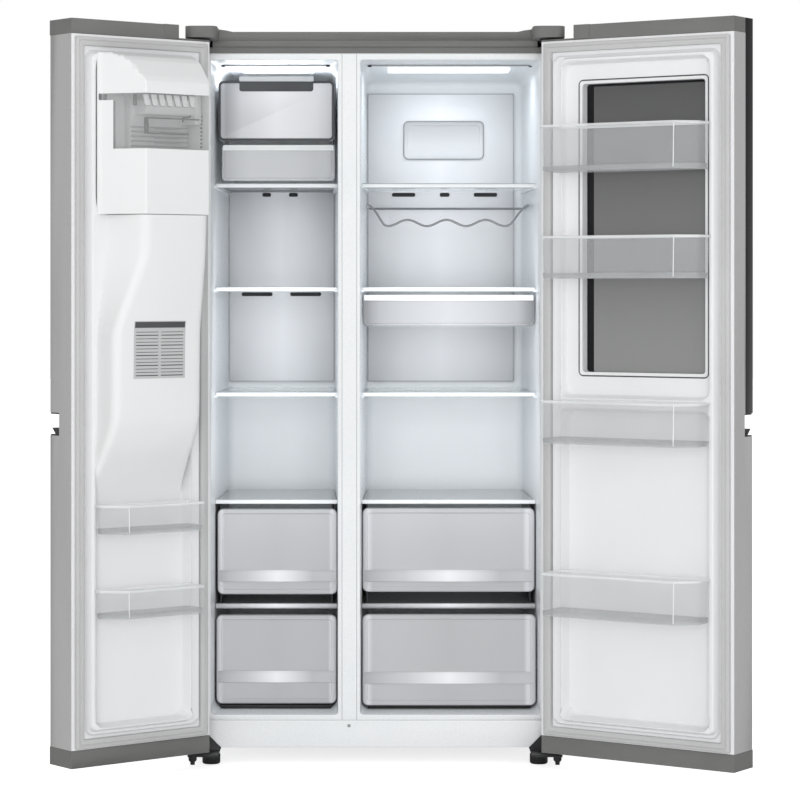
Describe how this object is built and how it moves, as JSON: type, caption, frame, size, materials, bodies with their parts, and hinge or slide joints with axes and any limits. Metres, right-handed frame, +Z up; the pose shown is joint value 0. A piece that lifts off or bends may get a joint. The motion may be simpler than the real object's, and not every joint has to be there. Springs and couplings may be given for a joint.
{
  "type": "side by side refrigerator",
  "caption": "Tall side by side refrigerator with both doors open: glass shelves, sliding drawers, door bins, an in-door ice system and a window in the wider door.",
  "frame": {"origin": "middle of the bounding box on the floor, with the doors open as modelled", "axes": "+Z up, -Y out of the front of the cabinet, +X to the right as seen from the front"},
  "size_m": [1.6432, 1.0698, 1.79],
  "materials": {
    "steel_skin": "fine brushed stainless",
    "galvanised_steel": "plain grey sheet",
    "foam": "cellular foam",
    "white_plastic": "smooth satin moulding",
    "white_paint": "satin white paint",
    "grey_plastic": "fine textured moulding",
    "black_steel": "black powder coat",
    "black_plastic": "moulded black",
    "brushed_metal": "vertically brushed",
    "bright_wire": "bright plated",
    "shelf_glass": "clear toughened glass",
    "clear_plastic": "clear polystyrene",
    "gasket": "soft grey vinyl",
    "black_glass": "black tinted glass"
  },
  "bodies": {
    "cabinet": {"outer_case": "steel_skin", "back_panel": "galvanised_steel", "base_pan": "galvanised_steel", "insulation": "foam", "freezer_liner": "white_plastic", "fridge_liner": "white_plastic", "ice_compartment": "white_plastic", "front_flange": "white_paint", "kick_panel": "white_paint", "top_cover": "grey_plastic", "upper_hinge_left": "black_steel", "upper_hinge_right": "black_steel", "lower_hinge_left": "black_steel", "lower_hinge_right": "black_steel", "compressor": "black_steel", "freezer_air_duct": "brushed_metal", "fridge_air_duct": "brushed_metal", "wine_rack": "bright_wire", "freezer_shelf_upper": "shelf_glass", "freezer_shelf_middle": "shelf_glass", "freezer_shelf_lower": "shelf_glass", "fridge_shelf_upper": "shelf_glass", "fridge_shelf_middle": "shelf_glass", "fridge_shelf_lower": "shelf_glass", "freezer_drawer_frame": "shelf_glass", "fridge_drawer_frame": "shelf_glass"},
    "freezer_door": {"freezer_door_skin": "steel_skin", "freezer_door_liner": "white_plastic", "freezer_door_ice_cover": "white_plastic", "freezer_door_ice_maker": "white_plastic", "freezer_door_top_cap": "grey_plastic", "freezer_door_bottom_cap": "grey_plastic", "freezer_door_handle_lining": "black_plastic", "freezer_door_dispenser_housing": "black_plastic", "freezer_door_bin_upper": "clear_plastic", "freezer_door_bin_lower": "clear_plastic", "freezer_door_gasket": "gasket"},
    "fridge_door": {"fridge_door_skin": "steel_skin", "fridge_door_liner": "white_plastic", "fridge_door_top_cap": "grey_plastic", "fridge_door_bottom_cap": "grey_plastic", "fridge_door_bin_top": "clear_plastic", "fridge_door_bin_upper": "clear_plastic", "fridge_door_bin_middle": "clear_plastic", "fridge_door_bin_lower": "clear_plastic", "fridge_door_gasket": "gasket", "fridge_door_glass_unit": "black_glass"},
    "ice_arm": {"freezer_door_ice_arm": "bright_wire"},
    "dispenser_paddle": {"freezer_door_dispenser_paddle": "grey_plastic"},
    "freezer_drawer_lower": {"freezer_drawer_lower": "clear_plastic"},
    "freezer_drawer_upper": {"freezer_drawer_upper": "clear_plastic"},
    "fridge_drawer_lower": {"fridge_drawer_lower": "clear_plastic"},
    "fridge_drawer_upper": {"fridge_drawer_upper": "clear_plastic"},
    "humidity_slider": {"humidity_slider": "grey_plastic"},
    "ice_bin": {"ice_bin": "clear_plastic"},
    "levelling_foot_left": {"levelling_foot_left": "black_plastic"},
    "levelling_foot_right": {"levelling_foot_right": "black_plastic"},
    "rear_roller_left": {"rear_roller_left": "black_plastic"},
    "rear_roller_right": {"rear_roller_right": "black_plastic"},
    "utility_box": {"utility_box": "clear_plastic"}
  },
  "joints": [
    {"name": "freezer_door_hinge", "type": "hinge", "parent": "cabinet", "child": "freezer_door", "pos_m": [-0.49889, -0.15312, 0.9], "axis": [0, 0, -1], "range_deg": [-141.5, 8.5]},
    {"name": "fridge_door_hinge", "type": "hinge", "parent": "cabinet", "child": "fridge_door", "pos_m": [0.38211, -0.15312, 0.9], "axis": [0, 0, 1], "range_deg": [-145.5, 4.5]},
    {"name": "freezer_drawer_upper_slide", "type": "slide", "parent": "cabinet", "child": "freezer_drawer_upper", "axis": [0, -1, 0], "range_m": [0, 0.3]},
    {"name": "freezer_drawer_lower_slide", "type": "slide", "parent": "cabinet", "child": "freezer_drawer_lower", "axis": [0, -1, 0], "range_m": [0, 0.24]},
    {"name": "fridge_drawer_upper_slide", "type": "slide", "parent": "cabinet", "child": "fridge_drawer_upper", "axis": [0, -1, 0], "range_m": [0, 0.3]},
    {"name": "fridge_drawer_lower_slide", "type": "slide", "parent": "cabinet", "child": "fridge_drawer_lower", "axis": [0, -1, 0], "range_m": [0, 0.26]},
    {"name": "utility_box_slide", "type": "slide", "parent": "cabinet", "child": "utility_box", "axis": [0, -1, 0], "range_m": [0, 0.25]},
    {"name": "ice_bin_slide", "type": "slide", "parent": "cabinet", "child": "ice_bin", "axis": [0, -1, 0], "range_m": [0, 0.25]},
    {"name": "humidity_slider_slide", "type": "slide", "parent": "cabinet", "child": "humidity_slider", "axis": [1, 0, 0], "range_m": [-0.02, 0.02]},
    {"name": "ice_arm_pivot", "type": "hinge", "parent": "freezer_door", "child": "ice_arm", "pos_m": [-0.53012, -0.3773, 1.556], "axis": [-0.7826, -0.6225, 0], "range_deg": [0, 18]},
    {"name": "dispenser_paddle_pivot", "type": "hinge", "parent": "freezer_door", "child": "dispenser_paddle", "pos_m": [-0.64941, -0.25625, 1.241], "axis": [-0.7826, -0.6225, 0], "range_deg": [0, 12]},
    {"name": "levelling_foot_left_turn", "type": "hinge", "parent": "cabinet", "child": "levelling_foot_left", "pos_m": [-0.45839, -0.07062, 0], "axis": [0, 0, 1], "continuous": true},
    {"name": "rear_roller_left_spin", "type": "hinge", "parent": "cabinet", "child": "rear_roller_left", "pos_m": [-0.45839, 0.49188, 0.0195], "axis": [1, 0, 0], "continuous": true},
    {"name": "levelling_foot_right_turn", "type": "hinge", "parent": "cabinet", "child": "levelling_foot_right", "pos_m": [0.34161, -0.07062, 0], "axis": [0, 0, 1], "continuous": true},
    {"name": "rear_roller_right_spin", "type": "hinge", "parent": "cabinet", "child": "rear_roller_right", "pos_m": [0.34161, 0.49188, 0.0195], "axis": [1, 0, 0], "continuous": true}
  ]
}
